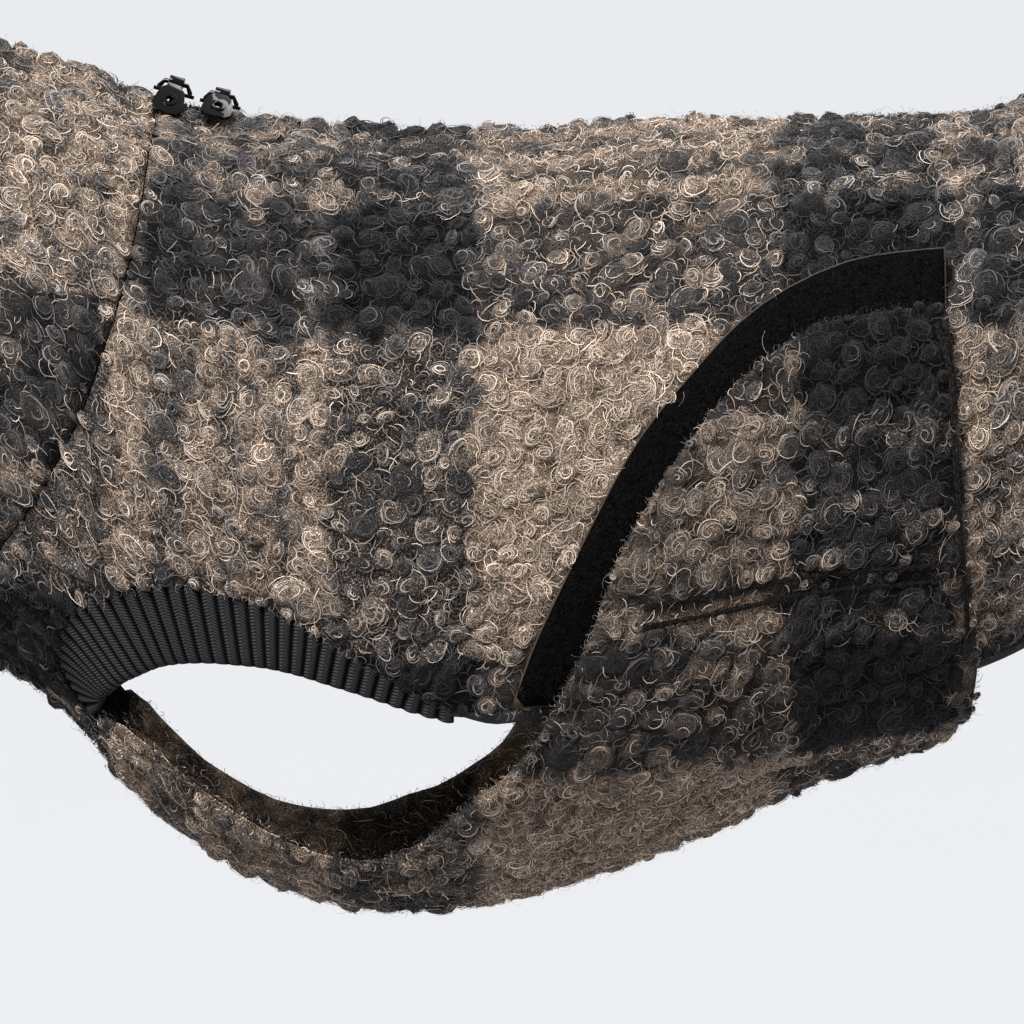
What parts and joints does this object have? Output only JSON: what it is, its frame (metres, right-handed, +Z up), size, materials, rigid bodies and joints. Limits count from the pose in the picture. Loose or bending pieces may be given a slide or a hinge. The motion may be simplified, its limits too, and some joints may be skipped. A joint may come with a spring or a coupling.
{
  "type": "dog sweater",
  "caption": "Dog coat of curly plaid boucle wool: zipped collar, rib leg openings, strap between the forelegs and a belly panel whose flaps close on tapes at the sides.",
  "frame": {"origin": "inside of the cloth at the centre back, where the collar is sewn to the body, over the wearer's withers", "axes": "+X towards the rump, +Z up, the wearer's left side towards -Y"},
  "size_m": [0.568, 0.1718, 0.2762],
  "materials": {
    "boucle": "curly boucle wool, beige and charcoal plaid",
    "rib_knit": "charcoal rib knit",
    "hook_and_loop": "black napped hook-and-loop tape",
    "binding": "smooth charcoal binding",
    "zip": "black zip tape and teeth",
    "black_metal": "glossy black"
  },
  "bodies": {
    "garment": {"collar": "boucle", "body_left": "boucle", "body_right": "boucle", "belly_panel": "boucle", "cuff_left": "rib_knit", "cuff_right": "rib_knit", "loop_tape_left": "hook_and_loop", "loop_tape_right": "hook_and_loop", "hook_tape_left": "hook_and_loop", "hook_tape_right": "hook_and_loop", "hem_binding": "binding", "zip_chain": "zip", "slider_1": "black_metal", "slider_2": "black_metal"},
    "tab_1": {"pull_tab_1": "black_metal"},
    "tab_2": {"pull_tab_2": "black_metal"}
  },
  "joints": [
    {"name": "tab_1_swing", "type": "hinge", "parent": "garment", "child": "tab_1", "pos_m": [0.00826, 0, 0.00525], "axis": [-0.9634, 0, 0.2682], "range_deg": [0, 210]},
    {"name": "tab_2_swing", "type": "hinge", "parent": "garment", "child": "tab_2", "pos_m": [0.02188, 0, 0.00178], "axis": [-0.9764, 0, 0.2159], "range_deg": [0, 190]}
  ]
}
